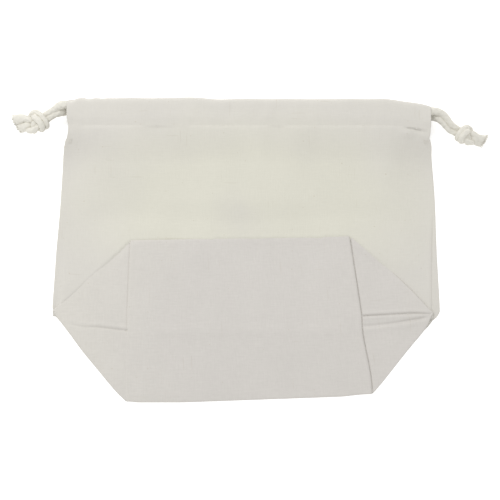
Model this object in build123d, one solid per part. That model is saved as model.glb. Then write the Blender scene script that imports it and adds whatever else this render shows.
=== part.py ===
"""A drawstring project bag of unbleached cotton, lying flat on its back.

The bag is a wide pouch with a boxed base. Empty, it lies as it is packed: the back panel on the
table, the front panel over it, and the base folded up over the front. The lower half of the base
stays with the bag. Its upper half, with the foot of the front panel behind it, is a flap that
turns about the base's centre crease. Two round cords run through the casings along the mouth.
Each goes right round, and both its ends leave at one side, tied together in an overhand knot.

+X is the wearer's right, +Y runs from the base to the mouth and +Z is up, away from the table.
The origin is the middle of the bag's footprint, on the table. Lengths are in millimetres.
"""

import math
import os

from build123d import *

# The bag as it lies
HEIGHT = 208.0  # bottom fold to mouth edge
BASE_WIDTH = 170.0  # base panel, side to side
BASE_DEPTH = 112.0  # base panel, back to front
FOLD_WIDTH = 270.0  # across the side folds, at the base's centre crease
MOUTH_WIDTH = 254.0  # across the side folds, just under the casings

# Cloth
CLOTH = 0.6  # one layer
AIR = 0.3  # between layers that can move apart
SEAM_ALLOWANCE = 8.0  # width of the turned-in edges at the sides
WELT = 1.0  # half the width of a boxed corner's seam

# Casings and cords
CASING_LENGTH = 252.0
CASING_HEIGHT = 20.0
CORD = 4.0  # diameter
CORD_PLAY = 0.3  # round the cord in its casing
MOUTH_GAP = 4.6  # between the two casings
SLIT = 8.0  # open side below the casings
LANES = {  # y of each cord in each casing, by the side that its knot is on
    "left": {"front": 98.5, "back": 93.5},
    "right": {"front": 92.5, "back": 87.5},
}
STRAND_LENGTH = 221.0  # straight cord inside a casing, from its exit
SHORT_HEM = 7.0  # a casing's inner layer ends this much before its outer one, where the cord turns
STITCH = 3.0
STITCH_THICKNESS = 0.5

# Places that follow from those
BOTTOM = -HEIGHT / 2
TOP = HEIGHT / 2
CREASE = BOTTOM + BASE_DEPTH / 2  # the base's centre crease, where the flap turns
FLAP_TOP = BOTTOM + BASE_DEPTH
RISE_START = FLAP_TOP + 4  # above it the front panel lifts off the back
CASING_BOTTOM = TOP - CASING_HEIGHT
SLIT_BOTTOM = CASING_BOTTOM - SLIT
HALF_BASE = BASE_WIDTH / 2
EXIT = CASING_LENGTH / 2
MOUTH_HALF = 100.0  # half the width that the front panel holds open
RISE_END = CASING_BOTTOM - 18  # from here the front panel runs level to its casing

# Levels: the underside of each layer
SEAM_LEVEL = CLOTH
FRONT_LEVEL = SEAM_LEVEL + 2 * CLOTH
FOOT_LEVEL = FRONT_LEVEL + CLOTH + AIR
BASE_LEVEL = FOOT_LEVEL + CLOTH + AIR
HINGE_LEVEL = BASE_LEVEL + CLOTH + AIR / 2
CHANNEL = CORD + 2 * CORD_PLAY
CASING_THICKNESS = CHANNEL + 2 * CLOTH
FRONT_CASING_LEVEL = CASING_THICKNESS + MOUTH_GAP
CORD_LEVELS = {"front": FRONT_CASING_LEVEL + CASING_THICKNESS / 2, "back": CASING_THICKNESS / 2}

# A cord's free tails, from its casing to its knot: the front strand comes down, the back one up
LEFT_TAILS = {
    "front": [(-126, 98.5, 13.3), (-131.3, 98.5, 13.3), (-136.5, 96.8, 12.2), (-141.5, 93.6, 9.9)],
    "back": [(-126, 93.5, 2.9), (-131.3, 93.5, 2.9), (-136.5, 92.4, 3.3), (-141.5, 90.4, 4.6)],
}
RIGHT_TAILS = {
    "front": [(126, 92.5, 13.3), (132.5, 92.5, 13.3), (138.1, 90.3, 12.4), (143, 86, 10.6), (148.5, 81.2, 8.6)],
    "back": [(126, 87.5, 2.9), (132.5, 87.5, 2.9), (138.3, 85.6, 2.6), (143.2, 82, 3), (148.3, 78.3, 4.4)],
}
# The knots: centre, direction along the cord, length and greatest radius
LEFT_KNOT = ((-146, 89, 7.4), (-1, -0.25, 0), 16.0, 7.4)
RIGHT_KNOT = ((152.5, 77.5, 6.5), (1, -0.2, 0), 15.0, 6.4)
# The cut ends beyond each knot
LEFT_ENDS = [
    [(-151, 90.5, 7), (-157, 91, 5), (-163.5, 91.8, 2.4)],
    [(-150.5, 85.8, 6), (-155.5, 84.3, 4), (-159.5, 82.8, 2.3)],
]
RIGHT_ENDS = [
    [(157, 79, 6.8), (162.5, 77.6, 5.2), (168, 76.8, 3.8)],
    [(156.5, 74.4, 4.4), (161.5, 73.1, 2.8), (166, 72.7, 2.3)],
]


def half_width(y):
    """Half the flat width of the body at a height between the crease and the casings."""
    share = (y - CREASE) / (CASING_BOTTOM - CREASE)
    return (FOLD_WIDTH + share * (MOUTH_WIDTH - FOLD_WIDTH)) / 2


def plate(*corners, thickness=CLOTH):
    """A flat piece of cloth over these corners, thickened upwards."""
    face = Face(Wire.make_polygon([Vector(*c) for c in corners], close=True))
    return extrude(face, amount=thickness, dir=(0, 0, 1))


def mirrored(shape, side):
    """The shape as modelled for the right side, or its mirror image for the left."""
    return shape if side == "right" else mirror(shape, Plane.YZ)


def save(name, shape):
    """Writes one node."""
    shape.label = name
    export_step(shape, f"parts/{name}.step")


# ---------------------------------------------------------------- body of the bag


def back_panel():
    """The back, flat on the table, with the back halves of the sides."""
    side, mouth = half_width(CREASE), half_width(CASING_BOTTOM)
    return plate(
        (-HALF_BASE, BOTTOM, 0),
        (HALF_BASE, BOTTOM, 0),
        (side, CREASE, 0),
        (mouth, CASING_BOTTOM, 0),
        (-mouth, CASING_BOTTOM, 0),
        (-side, CREASE, 0),
    )


def front_panel():
    """The front: flat under the flap, then rising to its casing so that the mouth stands open."""
    low, high = FRONT_LEVEL, FRONT_CASING_LEVEL
    side, knee = half_width(CREASE), half_width(RISE_START)
    slit, mouth = half_width(SLIT_BOTTOM), half_width(CASING_BOTTOM)
    inner = MOUTH_HALF
    facets = [
        [(-side, CREASE, low), (side, CREASE, low), (knee, RISE_START, low), (-knee, RISE_START, low)],
        [(-knee, RISE_START, low), (knee, RISE_START, low), (inner, RISE_END, high), (-inner, RISE_END, high)],
        [
            (-inner, RISE_END, high),
            (inner, RISE_END, high),
            (inner, CASING_BOTTOM, high),
            (-inner, CASING_BOTTOM, high),
        ],
    ]
    for s in (-1, 1):
        shoulder = (s * slit, SLIT_BOTTOM, low)
        facets += [
            [(s * knee, RISE_START, low), shoulder, (s * inner, RISE_END, high)],
            [shoulder, (s * inner, CASING_BOTTOM, high), (s * inner, RISE_END, high)],
            [shoulder, (s * mouth, CASING_BOTTOM, high), (s * inner, CASING_BOTTOM, high)],
        ]
    cloth = plate(*facets[0])
    for corners in facets[1:]:
        cloth += plate(*corners)
    return cloth


def slope_level(x, y):
    """Height of the front panel's upper face on its right-hand slope."""
    knee = Vector(half_width(RISE_START), RISE_START, FRONT_LEVEL)
    shoulder = Vector(half_width(SLIT_BOTTOM), SLIT_BOTTOM, FRONT_LEVEL)
    crown = Vector(MOUTH_HALF, RISE_END, FRONT_CASING_LEVEL)
    normal = (shoulder - knee).cross(crown - knee)
    return knee.Z - (normal.X * (x - knee.X) + normal.Y * (y - knee.Y)) / normal.Z + CLOTH


def base_lower():
    """The back half of the base, from the bottom fold up to the crease."""
    inner = HALF_BASE - WELT
    return plate(
        (-inner, BOTTOM, CLOTH),
        (inner, BOTTOM, CLOTH),
        (inner, CREASE, BASE_LEVEL),
        (-inner, CREASE, BASE_LEVEL),
    )


def ear_lower():
    """The right side's folded-over triangle below the crease, and its fold down to the back."""
    inner, side = HALF_BASE + WELT, half_width(CREASE)
    ear = plate((inner, BOTTOM, CLOTH), (side, CREASE, BASE_LEVEL), (inner, CREASE, BASE_LEVEL))
    edge = Face(
        Wire.make_polygon(
            [Vector(inner, BOTTOM, CLOTH), Vector(side, CREASE, CLOTH), Vector(side, CREASE, BASE_LEVEL)],
            close=True,
        )
    )
    return ear + extrude(edge, amount=CLOTH, dir=(-1, 0, 0))


def base_upper():
    """The front half of the base, from the crease to the flap's top edge."""
    inner, start = HALF_BASE - WELT, CREASE + AIR
    return plate(
        (-inner, start, BASE_LEVEL),
        (inner, start, BASE_LEVEL),
        (inner, FLAP_TOP, BASE_LEVEL),
        (-inner, FLAP_TOP, BASE_LEVEL),
    )


def ear_upper():
    """The right side's folded-over triangle above the crease."""
    inner, side, start = HALF_BASE + WELT, half_width(CREASE), CREASE + AIR
    return plate((inner, start, BASE_LEVEL), (side, start, BASE_LEVEL), (inner, FLAP_TOP, BASE_LEVEL))


def front_foot():
    """The foot of the front panel, turned up behind the base, and the fold that joins them."""
    side, start = half_width(CREASE), CREASE + AIR
    foot = plate(
        (-side, start, FOOT_LEVEL),
        (side, start, FOOT_LEVEL),
        (HALF_BASE, FLAP_TOP, FOOT_LEVEL),
        (-HALF_BASE, FLAP_TOP, FOOT_LEVEL),
    )
    fold = plate(
        (-HALF_BASE, FLAP_TOP, FOOT_LEVEL),
        (HALF_BASE, FLAP_TOP, FOOT_LEVEL),
        (HALF_BASE, FLAP_TOP + CLOTH, FOOT_LEVEL),
        (-HALF_BASE, FLAP_TOP + CLOTH, FOOT_LEVEL),
        thickness=BASE_LEVEL + CLOTH - FOOT_LEVEL,
    )
    return foot + fold


def side_seam():
    """The right side's two turned-in edges, sewn together, between back and front."""
    low, high = half_width(CREASE), half_width(SLIT_BOTTOM)
    return plate(
        (low, CREASE, SEAM_LEVEL),
        (high, SLIT_BOTTOM, SEAM_LEVEL),
        (high - SEAM_ALLOWANCE, SLIT_BOTTOM, SEAM_LEVEL),
        (low - SEAM_ALLOWANCE, CREASE, SEAM_LEVEL),
        thickness=2 * CLOTH,
    )


def corner_seam(part):
    """The right boxed corner's seam between base and side, below or above the crease."""
    inner, outer = HALF_BASE - WELT, HALF_BASE + WELT
    if part == "lower":
        near, far, low = BOTTOM, CREASE, CLOTH
    else:
        near, far, low = CREASE + AIR, FLAP_TOP, BASE_LEVEL
    return plate((inner, near, low), (outer, near, low), (outer, far, BASE_LEVEL), (inner, far, BASE_LEVEL))


# ---------------------------------------------------------------- casings and their sewing


def casing(level, inner_side):
    """A hem folded over at the mouth and sewn down, with a flat channel for two cords.

    inner_side is 1 where the layer that faces the mouth is the upper one, and -1 where it is the lower.
    """
    middle, height = (CASING_BOTTOM + TOP) / 2, level + CASING_THICKNESS / 2
    place = Plane(origin=(-EXIT, middle, height), x_dir=(0, 1, 0), z_dir=(1, 0, 0))
    outside = Rectangle(CASING_HEIGHT, CASING_THICKNESS)
    outside = fillet(outside.vertices().group_by(Axis.X)[-1], CASING_THICKNESS / 2 - 0.1)
    inside = Rectangle(CASING_HEIGHT - 2 * CLOTH, CHANNEL)
    inside = fillet(inside.vertices().group_by(Axis.X)[-1], CHANNEL / 2 - 0.1)
    hem = extrude(place * (outside - inside), amount=CASING_LENGTH)
    for s in (-1, 1):
        notch = Box(SHORT_HEM, CASING_HEIGHT, CASING_THICKNESS / 2)
        hem -= Pos(s * (EXIT - SHORT_HEM / 2), middle, height + inner_side * CASING_THICKNESS / 4) * notch
    return hem


def stitches(level):
    """A row of stitches along the foot of a casing, on its upper face."""
    count = int(CASING_LENGTH / (2 * STITCH))
    first = -(count - 1) * STITCH
    one = Box(STITCH, STITCH_THICKNESS, STITCH_THICKNESS)
    height = level + STITCH_THICKNESS / 2
    return Compound(
        children=[
            Pos(first + 2 * STITCH * i, CASING_BOTTOM + 1.2, height) * one for i in range(count)
        ]
    )


def slit_tack():
    """The close stitches that stop the right side seam at the foot of its slit."""
    outer = half_width(SLIT_BOTTOM) - 0.5
    inner = outer - SEAM_ALLOWANCE + 2
    rows = []
    for i in range(4):
        y = RISE_END - 2 - 1.2 * i
        near, far = y - STITCH_THICKNESS / 2, y + STITCH_THICKNESS / 2
        corners = [(inner, near), (outer, near), (outer, far), (inner, far)]
        rows.append(plate(*[(x, y, slope_level(x, y)) for x, y in corners], thickness=STITCH_THICKNESS))
    return Compound(children=rows)


def overlock():
    """The loops of thread that bind the cut edge of the right side seam's allowances, inside."""
    count = int((SLIT_BOTTOM - CREASE) / STITCH) - 1
    one = Box(0.4, STITCH / 2, 2 * CLOTH)
    loops = []
    for i in range(count):
        y = CREASE + STITCH * (i + 1)
        x = half_width(y) - SEAM_ALLOWANCE - 0.3
        loops.append(Pos(x, y, SEAM_LEVEL + CLOTH) * one)
    return Compound(children=loops)


# ---------------------------------------------------------------- cords


def strand(lane, level, side):
    """A cord's straight stretch inside a casing, from its exit."""
    out = 1 if side == "right" else -1
    place = Plane(origin=(out * EXIT, lane, level), z_dir=(-out, 0, 0))
    return extrude(place * Circle(CORD / 2), amount=STRAND_LENGTH)


def turn(lanes, side):
    """The stretch that turns at the open side, out of one casing and into the other."""
    out = 1 if side == "right" else -1
    start = out * (EXIT - SHORT_HEM + AIR)
    end = out * (STRAND_LENGTH - EXIT + 2 * AIR)
    high = Vector(start, lanes["front"], CORD_LEVELS["front"])
    low = Vector(start, lanes["back"], CORD_LEVELS["back"])
    radius = (high - low).length / 2
    bulge = (high + low) / 2 + Vector(out * radius, 0, 0)
    path = Wire(
        [
            Line((end, high.Y, high.Z), high).edge(),
            ThreePointArc(high, bulge, low).edge(),
            Line(low, (end, low.Y, low.Z)).edge(),
        ]
    )
    return sweep(Plane(origin=path @ 0, z_dir=path % 0) * Circle(CORD / 2), path=path)


def bend_radii(points):
    """The radius of the arc at each inner point: as large as its two runs allow."""
    radii = []
    for a, b, c in zip(points, points[1:], points[2:]):
        before, after = Vector(*b) - Vector(*a), Vector(*c) - Vector(*b)
        half_turn = math.radians(before.get_angle(after)) / 2
        radii.append(0.45 * min(before.length, after.length) / math.tan(half_turn))
    return radii


def cord(points):
    """A round cord along straight runs joined by arcs."""
    radii = bend_radii(points)
    print("bend radii", [round(r, 1) for r in radii])
    path = FilletPolyline(*points, radius=radii)
    return sweep(Plane(origin=path @ 0, z_dir=path % 0) * Circle(CORD / 2), path=path)


def knot(centre, along, length, radius):
    """The outer shape of an overhand knot in the doubled cord, as a barrel along the cord."""
    end, half = radius * 0.55, length / 2
    outline = make_face(
        [
            Line((0, -half), (end, -half)).edge(),
            ThreePointArc((end, -half), (radius, 0), (end, half)).edge(),
            Line((end, half), (0, half)).edge(),
            Line((0, half), (0, -half)).edge(),
        ]
    )
    barrel = revolve(outline, axis=Axis.Y, revolution_arc=360)
    across = Vector(*along).cross(Vector(0, 0, 1))
    return Plane(origin=centre, x_dir=(0, 0, 1), z_dir=across) * barrel


def main():
    save("back_panel", back_panel())
    save("front_panel", front_panel())
    save("base_lower", base_lower())
    save("base_upper", base_upper())
    save("front_foot", front_foot())
    for side in ("left", "right"):
        save(f"{side}_ear_lower", mirrored(ear_lower(), side))
        save(f"{side}_ear_upper", mirrored(ear_upper(), side))
        save(f"{side}_side_seam", mirrored(side_seam(), side))
        save(f"{side}_corner_seam_lower", mirrored(corner_seam("lower"), side))
        save(f"{side}_corner_seam_upper", mirrored(corner_seam("upper"), side))
        save(f"{side}_slit_tack", mirrored(slit_tack(), side))
        save(f"{side}_overlock", mirrored(overlock(), side))
    save("back_casing", casing(0, 1))
    save("front_casing", casing(FRONT_CASING_LEVEL, -1))
    save("back_casing_stitching", stitches(CASING_THICKNESS))
    save("front_casing_stitching", stitches(FRONT_CASING_LEVEL + CASING_THICKNESS))

    cords = {
        "left": (LEFT_TAILS, LEFT_ENDS, LEFT_KNOT, "right"),
        "right": (RIGHT_TAILS, RIGHT_ENDS, RIGHT_KNOT, "left"),
    }
    for side, (tails, ends, knot_size, far_side) in cords.items():
        lump = knot(*knot_size)
        for layer, level in CORD_LEVELS.items():
            save(f"{side}_cord_{layer}_strand", strand(LANES[side][layer], level, side))
            save(f"{side}_cord_{layer}_tail", cord(tails[layer]) - lump)
        save(f"{side}_cord_turn", turn(LANES[side], far_side))
        save(f"{side}_cord_knot", lump)
        save(f"{side}_cord_ends", Compound(children=[cord(points) - lump for points in ends]))


main()
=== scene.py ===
"""The looks of an unbleached cotton drawstring bag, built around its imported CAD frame.

The cloth is laid out flat in ideal coordinates, as the frame has it, then shifted a little to lie as
a real bag lies: its base slightly askew, its edges rolled, its seams puckered. The knots are tied by
pulling a loose overhand knot tight. Lengths in this script are in millimetres until a mesh is made.
+X is right, +Y runs from the base to the mouth, +Z is up.
"""

import math

import bmesh
import bpy
import numpy as np
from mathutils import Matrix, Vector


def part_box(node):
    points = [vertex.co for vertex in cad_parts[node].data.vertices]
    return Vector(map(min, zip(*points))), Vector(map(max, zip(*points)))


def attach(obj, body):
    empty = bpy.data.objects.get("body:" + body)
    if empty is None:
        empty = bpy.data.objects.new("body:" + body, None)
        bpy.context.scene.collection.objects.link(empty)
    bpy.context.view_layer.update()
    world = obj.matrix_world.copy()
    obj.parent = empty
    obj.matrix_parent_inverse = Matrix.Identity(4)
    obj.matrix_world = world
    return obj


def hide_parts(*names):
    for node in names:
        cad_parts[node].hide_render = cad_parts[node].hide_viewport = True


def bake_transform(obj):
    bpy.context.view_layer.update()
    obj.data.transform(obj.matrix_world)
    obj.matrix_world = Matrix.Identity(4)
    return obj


MM = 0.001
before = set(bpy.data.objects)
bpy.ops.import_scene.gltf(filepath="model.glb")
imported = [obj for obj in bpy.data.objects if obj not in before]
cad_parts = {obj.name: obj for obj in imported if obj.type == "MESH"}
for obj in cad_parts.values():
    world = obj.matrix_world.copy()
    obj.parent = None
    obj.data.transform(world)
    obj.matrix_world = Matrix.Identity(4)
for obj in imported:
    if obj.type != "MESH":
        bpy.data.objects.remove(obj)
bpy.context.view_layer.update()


def box_mm(node):
    """Lowest and highest corner of a CAD node, in millimetres."""
    low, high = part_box(node)
    return np.array(low) / MM, np.array(high) / MM


# ---- places, from the frame

BACK_LOW, BACK_HIGH = box_mm("back_panel")
BASE_LOW, BASE_HIGH = box_mm("base_upper")
CASING_LOW, CASING_HIGH = box_mm("front_casing")
BACK_CASING_HIGH = box_mm("back_casing")[1]
SEAM_LOW, SEAM_HIGH = box_mm("right_side_seam")

BOTTOM = BACK_LOW[1]
CREASE = box_mm("base_lower")[1][1]
FLAP_TOP = BASE_HIGH[1]
CASING_BOTTOM = CASING_LOW[1]
SLIT_BOTTOM = SEAM_HIGH[1]
HALF_FOLD = BACK_HIGH[0]
HALF_BASE = round(BASE_HIGH[0]) + 1.0
HALF_CASING = CASING_HIGH[0]
HALF_MOUTH = HALF_CASING + 1.0
HALF_ROLL = HALF_CASING - 0.4  # the casing's outer layer, to where its ends turn in
HALF_HEM = HALF_CASING - 7.0  # the casing's inner layer

CORD = 4.0
CORD_RADIUS = CORD / 2
OUT = {"left": -1, "right": 1}  # each side's outward direction along x

# Levels of the middle of each layer of cloth
CLOTH = 0.5
BACK_Z = CLOTH / 2 + 0.03
FRONT_Z = SEAM_HIGH[2] + 0.3
FOOT_Z = box_mm("front_foot")[0][2] + 0.3
BASE_Z = BASE_LOW[2] + 0.3
HEM_Z = CASING_LOW[2] + 0.3  # the casing's inner layer
STITCHED_Z = HEM_Z + 3.9  # the stitched foot of the casing
FOLD_REACH = 3.0  # the flap's bend takes this much cloth on each side of the crease
STITCH_ROW = 1.2  # from the casing's foot up to its stitching
STITCH_Y = CASING_BOTTOM + STITCH_ROW
SIDE_LINE = 129.8  # where the right side's fold shows through the front
PUCKER = 0.1  # height of the gathers along the casing's stitching

# ---- small maths


def smooth(low, high, x):
    """0 below low, 1 above high and a smooth step between."""
    t = np.clip((x - low) / (high - low), 0, 1)
    return t * t * (3 - 2 * t)


def bump(x, centre, width):
    """A soft ridge of height 1."""
    return np.exp(-(((x - centre) / width) ** 2))


def waves(x, y, seed, longest, shortest, count=14):
    """A soft random relief of about unit height, made of plane waves in all directions."""
    rng = np.random.default_rng(seed)
    total = np.zeros(np.broadcast(x, y).shape)
    for _ in range(count):
        length = shortest * (longest / shortest) ** rng.random()
        angle, phase = rng.random(2) * math.tau
        along = np.cos(angle) * x + np.sin(angle) * y
        total += np.cos(math.tau * along / length + phase)
    return total / math.sqrt(count / 2) / 1.6


def ripples(x, seed, longest, shortest, count=9):
    """A soft random wave along one direction, of about unit height."""
    rng = np.random.default_rng(seed)
    total = np.zeros(np.shape(x))
    for _ in range(count):
        length = shortest + (longest - shortest) * rng.random()
        total += np.cos(math.tau * x / length + rng.random() * math.tau)
    return total / math.sqrt(count / 2) / 1.6


def from_line(x, y, start, end):
    """Signed distance from a line through two points, and the place along it from 0 to 1."""
    (x0, y0), (x1, y1) = start, end
    length = math.hypot(x1 - x0, y1 - y0)
    dx, dy = (x1 - x0) / length, (y1 - y0) / length
    off = (y - y0) * dx - (x - x0) * dy
    return off, ((x - x0) * dx + (y - y0) * dy) / length


def together(*parts):
    """Coordinates, given as arrays or as one number for all, joined point by point."""
    return np.stack(np.broadcast_arrays(*parts), -1)


def cells(grid):
    """The four corners of each cell of a grid, in order round it."""
    return np.stack([grid[:-1, :-1], grid[:-1, 1:], grid[1:, 1:], grid[1:, :-1]], 2)


def spread(low, high, step):
    """Evenly spaced places from low to high, about step apart."""
    return np.linspace(low, high, max(2, int(round((high - low) / step)) + 1))


def half_width(y):
    """Half the flat width of the bag at a height."""
    upper = HALF_FOLD + (y - CREASE) / (CASING_BOTTOM - CREASE) * (HALF_MOUTH - HALF_FOLD)
    lower = HALF_BASE + (y - BOTTOM) / (CREASE - BOTTOM) * (HALF_FOLD - HALF_BASE)
    return np.where(y < CREASE, lower, upper - 1.4 * smooth(70, CASING_BOTTOM, y))


def flap_half_width(y):
    """Half the width of the base with its ears."""
    share = np.abs(y - CREASE) / (FLAP_TOP - CREASE)
    return HALF_FOLD + np.minimum(share, 1) * (HALF_BASE - HALF_FOLD)


def lie(points, flap=False):
    """Shifts laid-out points to where the bag's slightly askew cloth lies."""
    x, y = points[..., 0], points[..., 1]
    across = x / HALF_BASE
    below = smooth(0, 1, (CREASE - y) / (CREASE - BOTTOM))
    middle = 1 - np.clip((np.abs(x) - HALF_BASE) / (HALF_FOLD - HALF_BASE), 0, 1)
    # Below the crease the base is a little wide and turned, with a bowed bottom fold
    dx = below * (1.6 + 1.3 * across)
    dy = below * (-0.6 + 3.1 * across) - 1.3 * smooth(0, 12, CREASE - y)
    dy -= below * (1.05 * smooth(-80, -40, x) * smooth(80, 62, x) - 0.9 * bump(x, -84, 5))
    dy -= smooth(CREASE, CREASE - 8, y) * (1.3 * bump(x, -117, 9) + 0.9 * bump(x, 128, 6))
    dy += (1 - middle) * (1 - below) * 2.6 * (1 - smooth(CREASE, SLIT_BOTTOM, y))
    # The mouth droops at its right end and waves at its left end
    dx += 2.6 * smooth(90, 126, x) * smooth(62, 84, y)
    dy -= 6.6 * np.clip((x - 92) / 36, 0, 1.1) ** 2 * smooth(68, 102, y)
    mouth = 0.9 - 0.5 * smooth(-62, -84, x)
    mouth = mouth * smooth(-118, -98, x) * smooth(-15, -50, x) + 1.4 * bump(x, -115.5, 4)
    dy += (mouth - 0.5 - 1.0 * smooth(-112, -126, x)) * smooth(92, 102, y)
    # The side folds bulge out and pull in
    right, left = smooth(100, 130, x), smooth(-100, -130, x)
    dx += right * (1.1 * bump(y, 36, 30) - 1.4 * bump(y, 76, 5))
    dx += left * (1.1 * bump(y, 79, 9) - 0.7 * bump(y, -4, 22))
    dx -= 1.3 * smooth(-122, -136, x) * bump(y, CREASE, 34)
    if flap:
        # The flap is pushed to the left, and narrower at its top
        above = np.clip((y - CREASE) / (FLAP_TOP - CREASE), 0, 1)
        dx += middle * (1 - below) * (-1.8 - 2.7 * across) * (1 - above)
        dx += middle * above * (-4.9 - 8.0 * across)
        dy += middle * above * (-2.4 + 1.4 * across)
        dx -= 5.0 * smooth(86, 136, x) * smooth(CREASE - 6, CREASE + 4, y)
        dx -= 3.8 * smooth(119, 136, x) * smooth(CREASE + 4, CREASE - 6, y)
        dy -= 1.2 * smooth(119, 136, x)
    else:
        dy -= 2.2 * smooth(117, 133, x) * bump(y, CREASE, 15)
    out = np.array(points, float)
    out[..., 0] += dx
    out[..., 1] += dy
    return out


# ---- mesh making


def add_object(name, data):
    """A new object in the scene."""
    made = bpy.data.objects.new(name, data)
    bpy.context.scene.collection.objects.link(made)
    return made


def make_piece(name, points, faces, uvs):
    """A piece from points in millimetres, faces, and cloth coordinates for every face corner."""
    mesh = bpy.data.meshes.new(name)
    mesh.from_pydata((points * MM).tolist(), [], faces)
    layer = mesh.uv_layers.new(name="cloth")
    layer.data.foreach_set("uv", (uvs * MM).astype(np.float32).ravel())
    mesh.polygons.foreach_set("use_smooth", [True] * len(mesh.polygons))
    mesh.update()
    face_one_way(mesh)
    return add_object(name, mesh)


def face_one_way(mesh):
    """Turns all faces to the same side of the cloth."""
    cloth = bmesh.new()
    cloth.from_mesh(mesh)
    bmesh.ops.recalc_face_normals(cloth, faces=cloth.faces)
    cloth.to_mesh(mesh)
    cloth.free()


def finished_mesh(piece):
    """The mesh that an object's modifiers or its curve make."""
    bpy.context.view_layer.update()
    evaluated = piece.evaluated_get(bpy.context.evaluated_depsgraph_get())
    return bpy.data.meshes.new_from_object(evaluated)


class Cloth:
    """Collects grids of points into one sheet of cloth with cloth coordinates on its faces."""

    def __init__(self):
        self.points = np.zeros((0, 3))
        self.flat = np.zeros((0, 2))
        self.faces = []

    def add(self, points, flat):
        """Adds points with their cloth coordinates. Returns their indices."""
        index = len(self.points) + np.arange(len(points))
        self.points = np.concatenate([self.points, points])
        self.flat = np.concatenate([self.flat, flat])
        return index

    def grid(self, points, flat):
        """Adds a grid of points, rows by columns. Returns the indices."""
        index = self.add(points.reshape(-1, 3), flat.reshape(-1, 2)).reshape(points.shape[:2])
        self.skin(index)
        return index

    def skin(self, index):
        """Faces between the neighbouring rows and columns of a grid of indices."""
        self.faces.append(cells(index).reshape(-1, 4))

    def roll(self, first, second, outward, bulge, steps=5):
        """Joins two edges, listed in step with each other, by a rounded fold that bulges outward."""
        start, end = self.points[first], self.points[second]
        rings = [first]
        for k in range(1, steps):
            turn = math.pi * k / steps
            share = (1 - math.cos(turn)) / 2
            ring = start * (1 - share) + end * share + outward * bulge * math.sin(turn)
            rings.append(self.add(ring, self.flat[first] + outward[:, :2] * 1.5 * k / steps))
        rings.append(second)
        self.skin(np.array(rings))

    def fold_side(self, edge, out, places, bulge, steps):
        """Joins an edge at one side by a rounded fold to new places."""
        second = self.add(places, self.flat[edge] + [out * 3.0, 0])
        self.roll(edge, second, np.tile([float(out), 0.0, 0.0], (len(edge), 1)), bulge, steps)

    def build(self, name, thickness=CLOTH):
        """The cloth as an object, with its thickness."""
        faces = np.concatenate(self.faces)
        piece = make_piece(name, self.points, faces.tolist(), self.flat[faces])
        solid = piece.modifiers.new("thickness", "SOLIDIFY")
        solid.thickness, solid.offset, solid.use_even_offset = thickness * MM, 0, False
        mesh = finished_mesh(piece)
        piece.modifiers.clear()
        piece.data = mesh
        return piece


def nurbs_line(points, step):
    """Evenly spaced points along the smooth curve through a route's control points."""
    curve = bpy.data.curves.new("line", "CURVE")
    curve.dimensions = "3D"
    curve.resolution_u = 10
    spline = curve.splines.new("NURBS")
    spline.points.add(len(points) - 1)
    for place, co in zip(spline.points, points):
        place.co = (*np.multiply(co, MM), 1)
    spline.order_u = 3
    spline.use_endpoint_u = True
    holder = add_object("line", curve)
    mesh = finished_mesh(holder)
    line = np.array([tuple(v.co) for v in mesh.vertices]) / MM
    bpy.data.objects.remove(holder)
    bpy.data.curves.remove(curve)
    bpy.data.meshes.remove(mesh)
    return even(line, step)


def even(line, step):
    """The same line with its points a fixed step apart."""
    return points_at(line, spread(0, run_length(line)[-1], step))


def points_at(line, distances):
    """Points at distances along a line."""
    place = run_length(line)
    return together(*(np.interp(distances, place, line[:, k]) for k in range(3)))


def run_length(line):
    """Distance along a line at each of its points."""
    return np.concatenate([[0], np.cumsum(np.linalg.norm(np.diff(line, axis=0), axis=1))])


def carried_frames(line):
    """Two directions across the line at each point, carried along it without twisting."""
    ahead = np.gradient(line, axis=0)
    ahead /= np.linalg.norm(ahead, axis=1)[:, None] + 1e-12
    side = np.zeros_like(line)
    first = np.cross(ahead[0], [0, 0, 1.0])
    side[0] = first / np.linalg.norm(first)
    for i in range(1, len(line)):
        v = side[i - 1] - ahead[i] * (side[i - 1] @ ahead[i])
        side[i] = v / np.linalg.norm(v)
    return side, np.cross(side, ahead)


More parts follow.
